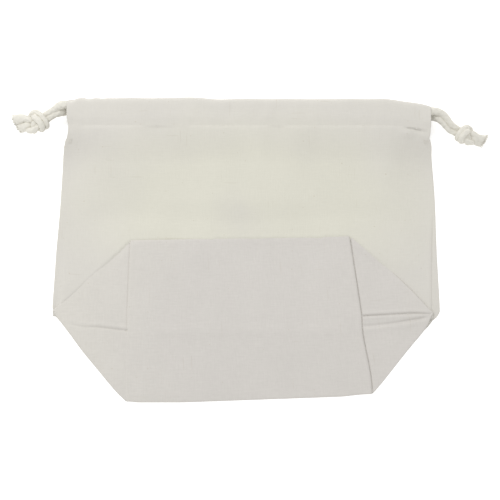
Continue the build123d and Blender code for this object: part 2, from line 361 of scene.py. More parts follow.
class Tubes:
    """Collects tubes along lines into one mesh: cords, threads and fibres."""

    def __init__(self):
        self.points, self.faces, self.uvs, self.count = [], [], [], 0

    def add(self, line, radius, around, relief=None, part=None, caps=(True, True), flatten=None, slant=None):
        """Adds a tube. relief(along, angle) adds height; part picks a range of its rings."""
        side, up = carried_frames(line)
        along = run_length(line)
        radius = np.broadcast_to(radius, len(line))
        turn = np.arange(around) * math.tau / around
        reach = np.repeat(radius[:, None], around, 1)
        if relief:
            reach += relief(along[:, None], turn[None, :])
        rings = side[:, None, :] * (np.cos(turn)[None, :] * reach)[..., None]
        rings += up[:, None, :] * (np.sin(turn)[None, :] * reach)[..., None]
        if flatten is not None:
            rings[..., 2] *= flatten[:, None]
        if slant is not None:
            ahead = np.cross(up, side)
            rings += ahead[:, None, :] * (slant[:, None] * rings[..., 1])[..., None]
        rings += line[:, None, :]
        first, last = part or (0, len(line))
        rings, along = rings[first:last], along[first:last]
        count = len(rings)
        index = self.count + np.arange(count * around).reshape(count, around)
        girth = np.arange(around + 1) * math.tau * CORD_RADIUS / around
        uv = together(girth[None, :], along[:, None])
        self.points.append(rings.reshape(-1, 3))
        self.faces += cells(np.concatenate([index, index[:, :1]], 1)).reshape(-1, 4).tolist()
        self.uvs.append(cells(uv).reshape(-1, 2))
        self.count += count * around
        for wanted, end, flip in ((caps[0], 0, True), (caps[1], -1, False)):
            if wanted:
                self.cap(index[end], rings[end], flip, uv[end])
        return self

    def cap(self, ring, places, flip, uv):
        """Closes a tube's end with a shallow dome: one inner ring and a middle point."""
        middle = places.mean(0)
        inner = places * 0.45 + middle * 0.55
        count = len(ring)
        self.points += [inner, middle[None]]
        ring, inside = ring.tolist(), list(range(self.count, self.count + count))
        centre = self.count + count
        self.count += count + 1
        for k in range(count):
            n = (k + 1) % count
            quad = [ring[k], ring[n], inside[n], inside[k]]
            tip = [inside[k], inside[n], centre]
            self.faces += [quad[::-1], tip[::-1]] if flip else [quad, tip]
            self.uvs.append(uv[k] + [[0], [0], [0.4], [0.4], [0.4], [0.4], [0.8]])

    def build(self, name):
        """All the tubes as one piece."""
        return make_piece(name, np.concatenate(self.points), self.faces, np.concatenate(self.uvs))


# ---- cords and knots

CORD_AROUND = 26  # faces around a hidden cord
TAIL_AROUND = 40  # and around a seen one
YARNS = 4  # in each of a braid's two directions
YARN_PITCH = 4.4  # along the cord
YARN_HEIGHT = 0.17
KNOT_STEP = 2.0  # distance between the points of the cords while a knot is tied
EXIT = 126.0  # where the tails leave the casings, to the left or right of the middle
# Heights of the cords' middle lines in the two casings
FRONT_LEVEL = 13.3
BACK_LEVEL = 2.9


def at_level(level, *places):
    """Control points at one height."""
    return [(x, y, level) for x, y in places]


# Routes, from the inner end of the strand in the casing to the knot, and from the knot to the cut end
ROUTES = {
    "left": {
        "front": at_level(
            FRONT_LEVEL, (95, 98.5), (20, 98.5), (-50, 98.5), (-100, 98.6), (-116, 99.1), (-126, 99.9)
        ) + [(-130.8, 98.9, 10.4), (-135, 96, 9.4)],
        "back": at_level(
            BACK_LEVEL, (95, 93.5), (20, 93.5), (-50, 93.5), (-100, 93.6), (-116, 94.4)
        ) + [(-126, 95.2, 4.6), (-129.8, 94.8, 8.2), (-135.4, 92.6, 8.8)],
        "front_end": [(-156, 90.2, 7), (-159, 89.8, 5), (-162.2, 89.2, 3.6)],
        "back_end": [(-154.6, 84.8, 6), (-156.8, 84.2, 4.2), (-159, 83.6, 3.2)],
        "knot": (-147, 86.8, 8.8),
        "turned": -12,
        "size": 1.08,
        "swell": (0.8, 5),
        "flare": 1.3,
        "cut": (0.3, 0.4),
    },
    "right": {
        "front": at_level(
            FRONT_LEVEL, (-95, 92.5), (-20, 92.5), (50, 92.5), (98, 92.8), (115, 93.7), (126, 94.9)
        ) + [(131.2, 94.9, 11.4), (135.9, 93.8, 10), (139.8, 90.2, 9.4), (143, 85.4, 9)],
        "back": at_level(
            BACK_LEVEL, (-95, 87.5), (-20, 87.5), (50, 87.5), (98, 87.9), (115, 89.4)
        ) + [(126, 91.2, 4.6), (130, 91.2, 8.2), (134.2, 90, 8.8), (138, 86.5, 8.2), (141.6, 81.6, 7.4)],
        "front_end": [(160.6, 76.9, 6), (163.2, 76.2, 4.8), (166, 75.7, 3.8)],
        "back_end": [(159.8, 74, 4.8), (162, 73.4, 3.4), (164.4, 73.2, 2.6)],
        "knot": (153, 77.7, 7.2),
        "turned": -14,
        "size": 0.87,
        "swell": (0.5, 9),
        "flare": 0.5,
        "cut": (0.5, 0.5),
    },
}
TURNS = {
    "left": at_level(FRONT_LEVEL, (95, 98.5), (101, 98.3), (108, 97.4))
    + [(115, 95.6, 13.2), (120.6, 94.4, 13), (123.8, 92.8, 11), (124.6, 91.6, 8.1), (123.6, 90.8, 5)]
    + at_level(BACK_LEVEL, (120, 90.9), (113, 92.2), (104, 93.4), (95, 93.5)),
    "right": at_level(FRONT_LEVEL, (-95, 92.5), (-103, 92.5), (-111, 92.5))
    + [(-118.4, 92.4, 13.2), (-122.8, 91.6, 11.6), (-124.2, 90.2, 8.1), (-122.8, 88.8, 4.6)]
    + at_level(BACK_LEVEL, (-118.4, 87.7), (-111, 87.5), (-103, 87.5), (-95, 87.5)),
}


def loose_knot(lead=16.0, size=4.6):
    """The middle line of a loose overhand knot, with straight leads on both sides."""
    t = np.linspace(-2.12, 2.12, 400)
    crossings = [-2.12, -1.932, -1.73, -0.518, 0.518, 1.73, 1.932, 2.12]
    over = np.interp(t, crossings, [-1, -1, 1, -1, 1, -1, 1, 1])
    for _ in range(60):
        over[1:-1] = (over[:-2] + 2 * over[1:-1] + over[2:]) / 4
    core = together(t**3 - 3 * t, 0.9 * (t**4 - 4 * t**2), over) * size
    core[:, 1] -= core[0, 1]
    leads = []
    for end in (core[0], core[-1]):
        far = np.array([end[0] + lead * np.sign(end[0]), 0, 0])
        leads.append(end + (far - end) * np.linspace(0, 1, 60)[1:, None])
    line = np.concatenate([leads[0][::-1], core, leads[1]])
    return even(line if line[0, 0] < line[-1, 0] else line[::-1], KNOT_STEP)


def tie_knot(slack=1.075, apart=CORD, contact=3.65, pull=0.04, stiffness=0.12):
    """Pulls an overhand knot tight in two cords side by side. Returns both cords' middle lines.

    The cords' ends are pulled out a little in each step, their points keep their distance along the
    cord, straighten a little, and push away points of either cord nearer than contact. It stops when
    the cord is stretched to slack times its length.
    """
    line = loose_knot()
    n = len(line)
    ahead = np.gradient(line, axis=0)
    across = together(-ahead[:, 1], ahead[:, 0], 0)
    across *= apart / 2 / np.linalg.norm(across, axis=1)[:, None]
    places = np.concatenate([line + across, line - across])
    which, order = np.repeat([0, 1], n), np.tile(np.arange(n), 2)
    one, two = np.triu_indices(2 * n, 1)
    neighbours = (which[one] == which[two]) & (np.abs(order[one] - order[two]) * KNOT_STEP < contact * 1.35)
    one, two = one[~neighbours], two[~neighbours]
    starts, ends = [0, n], [n - 1, 2 * n - 1]
    links = [np.concatenate([np.arange(k, n - 1, 2), np.arange(n + k, 2 * n - 1, 2)]) for k in (0, 1)]
    for step in range(900):
        if step % 20 == 0:
            gap = places[two] - places[one]
            close = (gap * gap).sum(1) < (contact + 5) ** 2
            near, near_to = one[close], two[close]
        places[starts, 0] -= pull
        places[ends, 0] += pull
        places[starts + ends, 1:] *= 0.97
        held = places[starts + ends].copy()
        for _ in range(8):
            for first in links:
                gap = places[first + 1] - places[first]
                shift = gap * (1 - KNOT_STEP / np.linalg.norm(gap, axis=1)[:, None]) / 2
                places[first] += shift
                places[first + 1] -= shift
                places[starts + ends] = held
        for k in (0, n):
            middle = (places[k:k + n - 2] + places[k + 2:k + n]) / 2
            places[k + 1:k + n - 1] += stiffness * (middle - places[k + 1:k + n - 1])
        for _ in range(2):
            gap = places[near_to] - places[near]
            distance = np.sqrt((gap * gap).sum(1)) + 1e-9
            hit = np.nonzero(distance < contact)[0]
            push = gap[hit] * ((contact / distance[hit] - 1) * 0.35)[:, None]
            np.add.at(places, near[hit], -push)
            np.add.at(places, near_to[hit], push)
            places[starts + ends] = held
        stretch = np.linalg.norm(np.diff(places[:n], axis=0), axis=1).mean() / KNOT_STEP
        if step > 80 and stretch > slack:
            break
    return places[:n], places[n:]


def knot_turns(side, route, cords, reach=7.0):
    """The two tied cords' turns inside a knot, moved to its place: (front cord, back cord)."""
    n = len(cords[0])
    bent = [c[int(n * 0.25):int(n * 0.75)] for c in cords]
    curl = [np.linalg.norm(c[2:] - 2 * c[1:-1] + c[:-2], axis=1) for c in bent]
    middle = np.concatenate([c[1:-1][k > 0.2] for c, k in zip(bent, curl)]).mean(0)
    angle = math.radians(route["turned"])
    turns = []
    for cord in cords:
        local = (cord - middle) * route["size"]
        inside = np.nonzero(np.linalg.norm(local[:, :2], axis=1) < reach)[0]
        local = local[inside.min():inside.max() + 1]
        x = local[:, 0] * math.cos(angle) - local[:, 1] * math.sin(angle)
        y = local[:, 0] * math.sin(angle) + local[:, 1] * math.cos(angle)
        turns.append(together(OUT[side] * x, y, local[:, 2]) + route["knot"])
    return turns


def plait(along, angle):
    """Relief of a braided cord: two families of yarns that cross around it."""
    rising = np.cos(YARNS * angle + math.tau * along / YARN_PITCH)
    falling = np.cos(YARNS * angle - math.tau * along / YARN_PITCH)
    return YARN_HEIGHT * (np.maximum(rising, falling) - 0.45)


def tuft(line, seed, radius, flatten, slant, count=90):
    """Loose fibres that stand out of a cord's cut end by about its radius."""
    tubes = Tubes()
    rng = np.random.default_rng(seed)
    side, up = carried_frames(line)
    ahead = line[-1] - line[-4]
    ahead /= np.linalg.norm(ahead)
    for _ in range(count):
        angle, out = rng.random() * math.tau, math.sqrt(rng.random())
        away = side[-1] * math.cos(angle) + up[-1] * math.sin(angle)
        away[2] *= flatten
        length = 0.9 + 1.3 * rng.random()
        start = line[-1] + away * radius * out + ahead * (slant * away[1] * radius * out - 1.4)
        bend = (rng.random(3) - 0.5) * 0.8
        share = np.linspace(0, 1, 6)[:, None]
        points = start + ahead * (length + 1.4) * share + (away * 1.1 * out + bend) * share**2
        points[:, 2] = np.maximum(points[:, 2], 0.25)
        tubes.add(points, np.linspace(0.26, 0.14, 6), around=5)
    return tubes


def cord_pieces(side, knot, material, fibre_material):
    """A cord's two strands in the casings, its free tails with their knot, and its turn."""
    route = ROUTES[side]
    body = side + "_cord"
    turns = knot_turns(side, route, knot)
    for number, (name, turn) in enumerate(zip(("front", "back"), turns)):
        control = route[name] + [tuple(p) for p in turn] + route[f"{name}_end"]
        line = nurbs_line(control, 0.42)
        place = run_length(line)
        exit_ring = int(np.argmin(np.abs(line[:, 0] - OUT[side] * EXIT) + 1000 * (place > 300)))
        gone = place[-1] - place
        out = place - place[exit_ring]
        radius = CORD_RADIUS + 0.3 * smooth(-12, 2, out)
        swell, stretch = route["swell"]
        radius += swell * bump(out, 4, stretch)
        radius -= 0.2 * (smooth(14, 22, out) - smooth(14, 8, gone))
        radius += route["flare"] * smooth(11, 2, gone)
        flatten = 1 - 0.32 * route["flare"] * smooth(10, 1, gone)
        slant = route["cut"][number] * smooth(6, 0, gone)
        strand = Tubes().add(line, radius, CORD_AROUND, plait, (0, exit_ring + 1), (True, False))
        piece = strand.build(f"{side}_{name}_strand")
        show(piece, body, material, "cotton_cord", f"{side}_cord_{name}_strand")
        seen = (exit_ring, len(line))
        tail = Tubes().add(line, radius, TAIL_AROUND, plait, seen, (False, True), flatten, slant)
        piece = tail.build(f"{side}_{name}_cord")
        replaced = [f"{side}_cord_{name}_tail"]
        if name == "front":
            replaced += [f"{side}_cord_knot", f"{side}_cord_ends"]
        show(piece, body, material, "cotton_cord", *replaced)
        fibres = tuft(line, 60 + number, radius[-1] * 0.92, flatten[-1], slant[-1])
        fluff = fibres.build(f"{side}_{name}_cord_fibres")
        show(fluff, body, fibre_material, "cotton_cord")
    turn = Tubes().add(nurbs_line(TURNS[side], 0.5), CORD_RADIUS, CORD_AROUND, plait)
    show(turn.build(f"{side}_turn"), "bag", material, "cotton_cord", f"{side}_cord_turn")


# ---- sewing


def stitch_row(name, line, material, replaced, length=2.7, gap=0.45, lift=0.14, thread=0.18):
    """A row of lockstitches along a cloth's middle: short arcs of thread that dip into its surface."""
    line = line + [0, 0, CLOTH / 2 - 0.05]
    tubes = Tubes()
    for start in np.arange(0.5, run_length(line)[-1] - length, length + gap):
        points = points_at(line, np.linspace(start, start + length, 7))
        points[:, 2] += lift * np.sin(math.pi * np.linspace(0, 1, 7)) ** 0.5 - 0.12
        tubes.add(points, thread * np.array([0.7, 0.95, 1, 1, 1, 0.95, 0.7]), around=7)
    show(tubes.build(name), "bag", material, "sewing_thread", replaced)


def slit_tack(side, material):
    """Close stitches across the top of the side seam, where the slit starts."""
    out = OUT[side]
    tubes = Tubes()
    for k in range(8):
        y = SLIT_BOTTOM - 0.6 - 0.45 * k
        x = out * np.linspace(half_width(y) - 4.6, half_width(y) - 0.9, 8)
        y += 0.2 * np.linspace(0, 1, 8) * (1 if k % 2 else -1)
        z = front_height(x, y) + CLOTH / 2 + 0.12 * np.sin(np.linspace(0, math.pi, 8)) ** 0.5 - 0.07
        tubes.add(lie(together(x, y, z)), 0.15, around=7)
    show(tubes.build(f"{side}_tack"), "bag", material, "sewing_thread", f"{side}_slit_tack")


def side_seam(side, cloth_material, thread_material):
    """The side's two turned-in edges inside the bag, and the loops of thread that bind them."""
    out = OUT[side]
    rows = spread(CREASE + 2, SLIT_BOTTOM - 1, 1.6)
    inner = 7.6 + 0.35 * ripples(rows, 71, 40, 12)
    wave = 0.08 * ripples(rows, 72, 30, 9)
    share = np.linspace(0, 1, 10)[None, :]
    edge = half_width(rows)[:, None] - 1.3
    x = out * (edge - (inner[:, None] - 1.3) * share)
    y = rows[:, None]
    cloth = Cloth()
    grids = []
    for level in (SEAM_LOW[2] + 0.3, SEAM_LOW[2] + 0.86):
        points = lie(together(x, y, level + wave[:, None] * share))
        grids.append(cloth.grid(points, together(x, y)))
    outward = np.tile([float(out), 0.0, 0.0], (len(rows), 1))
    cloth.roll(grids[0][:, 0], grids[1][:, 0], outward, 0.35, 4)
    show(cloth.build(f"{side}_seam", 0.45), "bag", cloth_material, "cotton_cloth", f"{side}_side_seam")
    loop = 2.4
    count = int((rows[-1] - rows[0]) / loop)
    t = np.linspace(0, count, count * 14)
    y = rows[0] + loop * t
    x = out * (half_width(y) - np.interp(y, rows, inner) + 1.0 - 1.35 * np.cos(math.tau * t))
    z = SEAM_LOW[2] + 0.58 + 0.62 * np.sin(math.tau * t)
    tubes = Tubes().add(lie(together(x, y, z)), 0.17, around=6)
    show(tubes.build(f"{side}_binding"), "bag", thread_material, "sewing_thread", f"{side}_overlock")


# ---- relief of each layer


def front_relief(x, y):
    """Height of the front panel's middle above its flat lie."""
    free = smooth(CREASE + 2, CREASE + 30, y)
    side = smooth(0, 26, half_width(y) - np.abs(x))
    relief = free * (0.25 + 0.75 * side) * 0.7 * waves(x, y, 11, 150, 55)
    relief += free * side * 0.16 * waves(x, y * 0.6, 12, 46, 22)
    near = np.exp(-np.maximum(STITCH_Y - y, 0) / 6.0)
    gathers = ripples(x + 0.12 * (STITCH_Y - y), 13, 12.0, 4.5)
    relief += PUCKER * near * gathers
    long_near = np.exp(-np.maximum(STITCH_Y - y, 0) / 24.0)
    relief += 0.16 * long_near * ripples(x, 14, 34, 15)
    seam = smooth(30, 4, y) * smooth(CREASE - 1, CREASE + 3, y)
    relief += seam * (0.25 * bump(x, SIDE_LINE - 2.4, 1.6) - 0.5 * bump(x, SIDE_LINE, 0.55))
    relief += 1.1 * bump(x, 111, 4.2) * bump(y, STITCH_Y - 5.0, 3.0)
    off, along = from_line(x, y, (106, STITCH_Y + 0.4), (122, STITCH_Y - 3.4))
    relief -= 1.4 * bump(off, 0, 1.5) * smooth(0, 0.45, along) * smooth(1.25, 0.9, along)
    relief -= 0.35 * bump(x, -103, 2.2) * bump(y, 77, 4.5)
    return relief


# The flap's edge as it lies: up the left ear, along the top and down the right ear
CORNERS = np.array([(-HALF_FOLD, CREASE), (-HALF_BASE, FLAP_TOP), (HALF_BASE, FLAP_TOP), (HALF_FOLD, CREASE)])
FLAP_OUTLINE = lie(np.concatenate([np.linspace(*ends, 90) for ends in zip(CORNERS, CORNERS[1:])]), flap=True)


def outside_flap(x, y):
    """How far a place on the front lies outside the flap's edge, below 0 under the flap."""
    place = lie(together(x, y))
    gap = np.linalg.norm(place[..., None, :] - FLAP_OUTLINE, axis=-1).min(-1)
    above = place[..., 1] > np.interp(place[..., 0], FLAP_OUTLINE[:, 0], FLAP_OUTLINE[:, 1])
    return np.where(above, gap, -gap)


def beside_flap(x, y, outside):
    """How much the front panel is held up beside the flap's edge, from 0 to 1.

    It is less beside the right ear's foot, where the front sinks away from the flap.
    """
    down = (FLAP_TOP - y) / (FLAP_TOP - CREASE)
    sunk = 0.75 * smooth(0.3, 0.6, down) * (x > 0)
    inner = smooth(0.5, 7, half_width(y) - np.abs(x))
    under = 0.3 * smooth(-9, -1, outside) + 0.7 * smooth(-1.6, 0.9, outside)
    return under * bump(np.maximum(outside, 0), 0, 26) * (1 - sunk) * inner


def front_level(x, y):
    """Height of the front panel: flat under the flap, then lifted to its casing."""
    arch = 0.14 + 0.26 * bump(x, 0, 42)
    rise = arch * smooth(FLAP_TOP - 3, FLAP_TOP + 28, y) + (0.6 - arch) * smooth(14, 76, y)
    rise += 0.4 * smooth(58, CASING_BOTTOM + 3, y)
    side = smooth(0, 34, half_width(y) - np.abs(x))
    open_side = smooth(SLIT_BOTTOM - 30, CASING_BOTTOM - 1, y)
    lift = rise * (side + (1 - side) * open_side)
    rising = (STITCHED_Z - FRONT_Z) * lift
    outside = outside_flap(x, y)
    held = (BASE_Z + 0.02 - FRONT_Z) * beside_flap(x, y, outside)
    rounding = 1.2 * smooth(0, 8, outside)
    return FRONT_Z + (rising + held + np.hypot(rising - held, rounding)) / 2


def front_height(x, y):
    """Height of the middle of the front panel's cloth."""
    y = y + 0 * x
    return np.maximum(front_level(x, y) + front_relief(x, y), FRONT_Z - 0.2)


def base_level(x, y):
    """Height of the base and its ears: level on the flap, sloping down to the bottom fold."""
    slope = np.clip((CREASE - y) / (CREASE - BOTTOM), 0, 1)
    level = BASE_Z - (BASE_Z - 1.25) * slope**1.15
    beyond = np.abs(x) - HALF_BASE
    level -= 0.35 * smooth(-0.2, 0.6, beyond)
    groove = np.where(x > 0, 1.15, 0.5 * smooth(CREASE - 14, CREASE - 6, y) + 0.06)
    level = level - groove * bump(beyond, 0.1, 0.5) + 0.25 * groove * bump(beyond, -1.9, 1.2)
    rim = FLAP_TOP - y
    level += 0.12 * bump(rim, 2.2, 2.0) * smooth(1.5, -0.5, beyond)
    edge = (flap_half_width(y) - np.abs(x)) * 0.75
    diagonal = np.where(y > CREASE, edge, 99)
    roll = np.where(x > 0, 0.25, 0.0)
    return level + roll * bump(diagonal, 2.0, 1.6) * smooth(0, 2, beyond)


def base_relief(x, y):
    """The base's soft unevenness and the lines where hidden edges show through."""
    relief = 0.33 * waves(x, y, 41, 120, 38) + 0.10 * waves(x, y, 42, 30, 14)
    relief += 0.42 * bump(y, CREASE - 9.5, 4.2) * smooth(-80, -60, -np.abs(x))
    off, along = from_line(x, y, (HALF_BASE, CREASE - 0.3), (HALF_FOLD, CREASE - 0.2))
    right = smooth(0.0, 0.03, along) * smooth(1.0, 0.96, along)
    relief += right * (-1.1 * bump(off, 0.0, 0.6) + 0.35 * bump(off, 1.7, 1.2) + 0.3 * bump(off, -1.9, 1.0))
    second = -6.6 + 5.4 * along**2
    relief -= right * (0.7 + 0.7 * along) * bump(off, second, 1.15 - 0.4 * along) * smooth(1.0, 0.93, along)
    relief += right * 0.3 * bump(off, second - 2.4, 1.6)
    off, along = from_line(x, y, (-HALF_FOLD + 4, CREASE - 6.2), (-HALF_BASE, CREASE - 9.4))
    left = smooth(0.02, 0.25, along) * smooth(1.02, 1.0, along) * (0.45 + 0.55 * smooth(0.2, 0.7, along))
    relief += left * (-0.8 * bump(off, 0.0, 0.65) + 0.32 * bump(off, 1.8, 1.3))
    calm = smooth(0, 8, flap_half_width(y) - np.abs(x)) * smooth(0, 6, y - BOTTOM)
    return relief * (0.25 + 0.75 * calm)


# ---- the pieces of cloth

# The casings in section: distance above their foot, height above the inner layer's level
FRONT_CASING_OUTER = [
    (0.6, 3.86), (1.2, 3.82), (1.8, 3.9), (2.6, 4.04), (3.6, 4.25), (4.8, 4.5), (6.2, 4.76), (8.0, 4.92),
    (10.0, 4.95), (12.0, 5.0), (14.0, 5.05), (15.6, 5.05), (17.2, 4.95), (18.5, 4.6), (19.3, 3.8),
    (19.6, 2.9), (19.75, 2.0),
]
FRONT_CASING_INNER = [
    (19.4, 1.1), (18.6, 0.45), (16.8, 0.08), (14.0, 0.0), (10.0, 0.0), (7.4, 0.05), (5.4, 0.5), (3.8, 1.6),
    (2.4, 2.7), (1.2, 3.1), (0.2, 3.0), (-0.8, 2.7),
]
BACK_CASING_OUTER = [
    (1.2, 0.0), (3, 0.0), (7, 0.0), (11, 0.0), (14, 0.0), (16.4, 0.02), (18.2, 0.14), (19.2, 0.32),
    (19.7, 0.52),
]
BACK_CASING_INNER = [
    (19.3, 0.72), (18.2, 0.88), (16.4, 0.98), (13.5, 1.0), (9, 1.0), (5, 0.97), (3.4, 0.85), (2.4, 0.55),
    (1.2, 0.16), (0.2, 0.12), (-0.8, 0.12),
]


def casing_rows(section, outer_rows, share, start, level, height, seed):
    """Rows of points along a casing's section and the cloth coordinates of each.

    The cloth comes from a place in the section. Its outer rows have relief. The others are shorter
    along the casing and smooth.
    """
    rows, flats = [], []
    length, last = CASING_BOTTOM, start
    for number, (dy, dz) in enumerate(section):
        inner = number >= outer_rows
        half = HALF_HEM if inner else HALF_ROLL
        length += math.hypot(dy - last[0], (dz - last[1]) * height)
        last = (dy, dz)
        x = share * half
        wander = smooth(12, 19, dy)
        y = CASING_BOTTOM + dy + 0.4 * ripples(x, seed, 60, 14) * wander
        y += 0.35 * ripples(x, seed + 5, 16, 7) * wander * smooth(-85, -110, x)
        z = level + dz * height
        if not inner:
            z += 0.14 * smooth(3, 9, dy) * (1 - wander) * ripples(x, seed + 1, 30, 9)
            z += 0.1 * smooth(3, 8, dy) * waves(x, y, seed + 2, 60, 14)
            z += 0.4 * smooth(9, 3, half - np.abs(x)) * smooth(2, 8, dy) * (1 - wander)
        rows.append(together(x, y, z))
        flats.append(together(x, length))
    return rows, flats


def front_cloth(cloth_material, thread_material):
    """The front panel with its casing, one cloth: up the front, over the cord and back down inside."""
    share = np.sin(np.linspace(-1.36, 1.36, 301)) / math.sin(1.36)
    rows, flats = [], []
    levels = spread(CREASE - FOLD_REACH, CASING_BOTTOM, 1.4)
    for y in levels:
        rounding = 4.4 * float(np.clip((CREASE + 3.5 - y) / 6.5, 0, 1)) ** 2
        x = share * (half_width(max(y, CREASE)) - rounding)
        rows.append(together(x, y, front_height(x, y)))
        flats.append(together(x, y))
    section = FRONT_CASING_OUTER + FRONT_CASING_INNER
    casing, flat = casing_rows(section, len(FRONT_CASING_OUTER), share, (0.0, 3.9), HEM_Z, 1.0, 21)
    for (dy, _), row in zip(FRONT_CASING_OUTER, casing):
        row[:, 2] += PUCKER * math.exp(-abs(dy - STITCH_ROW) / 3.0) * ripples(row[:, 0], 13, 12.0, 4.5)
        row[:, 2] -= 0.06 * bump(dy, STITCH_ROW, 0.7)
        if dy == STITCH_ROW:
            seam = lie(row)
    first_outer, last_outer = len(rows), len(rows) + len(FRONT_CASING_OUTER)
    cloth = Cloth()
    index = cloth.grid(lie(np.array(rows + casing)), np.array(flats + flat))
    closed = np.nonzero(levels <= SLIT_BOTTOM)[0]
    for out, column in ((-1, 0), (1, -1)):
        edge = index[closed, column]
        lower = cloth.points[edge] - [out * 1.4, 0, 0]
        lower[:, 2] = BACK_Z + 0.1
        cloth.fold_side(edge, out, lower, 0.9, 5)
        edge = index[first_outer + 3:last_outer - 2, column]
        cloth.fold_side(edge, out, cloth.points[edge] - [out * 3.2, 0, 0.62], 0.35, 4)
    piece = cloth.build("front_cloth")
    show(piece, "bag", cloth_material, "cotton_cloth", "front_panel", "front_casing")
    stitch_row("front_stitching", seam, thread_material, "front_casing_stitching")


def back_cloth(cloth_material, thread_material):
    """The back panel with its casing, one cloth, flat on the table and rolled over the cord."""
    share = np.linspace(-1, 1, 221)
    rows, flats = [], []
    for y in spread(BOTTOM, CASING_BOTTOM, 1.8):
        x = share * (half_width(y) - 1.4)
        inside = smooth(0, 12, half_width(y) - np.abs(x)) * smooth(0, 14, y - BOTTOM)
        up = BACK_Z + 0.1 * inside * np.maximum(1 + waves(x, y, 51, 90, 30), 0)
        short = 1.2 if y == BOTTOM else 0  # the edge lies inside the bottom fold
        rows.append(together(x, y + short, up))
        flats.append(together(x, y))
    thick = BACK_CASING_HIGH[2] - CLOTH
    casing, flat = casing_rows(
        BACK_CASING_OUTER + BACK_CASING_INNER, 0, share, (0.0, 0.0), BACK_Z, thick, 31)
    for row in casing[:len(BACK_CASING_OUTER)]:
        row[:, 0] *= HALF_ROLL / HALF_HEM
    stitched = len(BACK_CASING_OUTER) + [dy for dy, _ in BACK_CASING_INNER].index(STITCH_ROW)
    cloth = Cloth()
    cloth.grid(lie(np.array(rows + casing)), np.array(flats + flat))
    piece = cloth.build("back_cloth")
    show(piece, "bag", cloth_material, "cotton_cloth", "back_panel", "back_casing")
    stitch_row("back_stitching", lie(casing[stitched]), thread_material, "back_casing_stitching")


def split_columns(y):
    """Places across a row of the base, with a column exactly on each corner seam."""
    near = np.array([0.25, 0.5, 0.8, 1.2, 1.7, 2.4])
    wide = HALF_FOLD - HALF_BASE
    ear = np.concatenate([near / wide, np.linspace(3.4 / wide, 1, 36)])
    right = HALF_BASE + ear * (float(flap_half_width(y)) - HALF_BASE)
    half_middle = np.concatenate([np.linspace(0, HALF_BASE - 3.4, 64), HALF_BASE - near[::-1], [HALF_BASE]])
    return np.concatenate([-right[::-1], -half_middle[:0:-1], half_middle, right])


def hem_outward(depth, up, columns, rows):
    """Outward directions round half of the base: one ear's slant, the straight edge, the other slant."""
    slant = Vector((depth, up * (HALF_FOLD - HALF_BASE), 0)).normalized()
    stretches = ((-slant.x, slant.y, rows - 1), (0.0, up, columns), (slant.x, slant.y, rows - 1))
    return np.concatenate([np.tile([x, y, 0.0], (count, 1)) for x, y, count in stretches])


def half_round(index, rows, across):
    """Indices up the left edge of a grid, along one of its rows and back down its right edge."""
    return np.concatenate([index[rows, 0], index[across, 1:-1], index[rows[::-1], -1]])


def base_cloth(cloth_material):
    """The base with its ears, and behind its upper half the foot of the front panel."""
    upper_rows = np.concatenate([spread(CREASE, CREASE + 4, 0.5), spread(CREASE + 4, FLAP_TOP, 1.2)[1:]])
    lower_rows = np.concatenate([spread(BOTTOM, CREASE - 14, 1.2), spread(CREASE - 14, CREASE, 0.5)[1:]])
    base_rows = np.concatenate([lower_rows, upper_rows[1:]])
    foot_rows = np.concatenate([spread(CREASE - FOLD_REACH, CREASE, 1.0), upper_rows[1:]])
    layers = []
    for rows, is_base in ((base_rows, True), (foot_rows, False)):
        points = []
        for y in rows:
            x = split_columns(y if is_base else max(y, CREASE))
            z = base_level(x, y) + base_relief(x, y)
            if not is_base:
                z = np.minimum(FOOT_Z, z - 0.5)
            points.append(together(x, y, z))
        layers.append(np.array(points))
    base, foot = layers
    cloth = Cloth()
    base_index = cloth.grid(lie(base, flap=True), base[..., :2])
    foot_index = cloth.grid(lie(foot, flap=True), foot[..., :2] * [1, -1] + [0, 2 * FLAP_TOP])
    upper = np.nonzero(base_rows >= CREASE - 0.01)[0]
    upper_foot = np.nonzero(foot_rows >= CREASE - 0.01)[0]
    first, second = half_round(base_index, upper, -1), half_round(foot_index, upper_foot, -1)
    columns = base_index.shape[1]
    cloth.roll(first, second, hem_outward(FLAP_TOP - CREASE, 1.0, columns, len(upper)), 0.45, steps=6)

    lower = np.nonzero(base_rows <= CREASE + 0.01)[0]
    edge = half_round(base_index, lower[::-1], 0)
    points = cloth.points[edge]
    outward = hem_outward(CREASE - BOTTOM, -1.0, columns, len(lower))
    under = points - outward * 1.6
    down = smooth(CREASE - 0.5, CREASE - 5, points[:, 1])
    under[:, 2] = points[:, 2] * (1 - down) + (BACK_Z + 0.12) * down
    second = cloth.add(under, cloth.flat[edge] + outward[:, :2] * 3)
    cloth.roll(edge, second, outward, 0.8)
    piece = cloth.build("base_cloth")
    parts = ["base_lower", "base_upper", "front_foot"]
    for side in OUT:
        parts += [f"{side}_ear_lower", f"{side}_ear_upper"]
        parts += [f"{side}_corner_seam_lower", f"{side}_corner_seam_upper"]
    show(piece, None, cloth_material, "cotton_cloth", *parts)
    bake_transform(piece)


# ---- camera, light and floor


def camera():
    """Straight down on the bag from high above, as it is seen."""
    data = bpy.data.cameras.new("camera")
    data.lens, data.sensor_width = 200, 36
    half_view = 175.0 * MM
    distance = half_view / (data.sensor_width / 2 / data.lens)
    data.clip_end = 20
    cam = add_object("camera", data)
    cam.location = (2.1 * MM, -2.1 * MM, distance + 8 * MM)
    bpy.context.scene.camera = cam


def set_inputs(node, **values):
    """Sets a node's inputs to constants. An underscore in a name stands for a space."""
    for name, value in values.items():
        node.inputs[name.replace("_", " ")].default_value = value


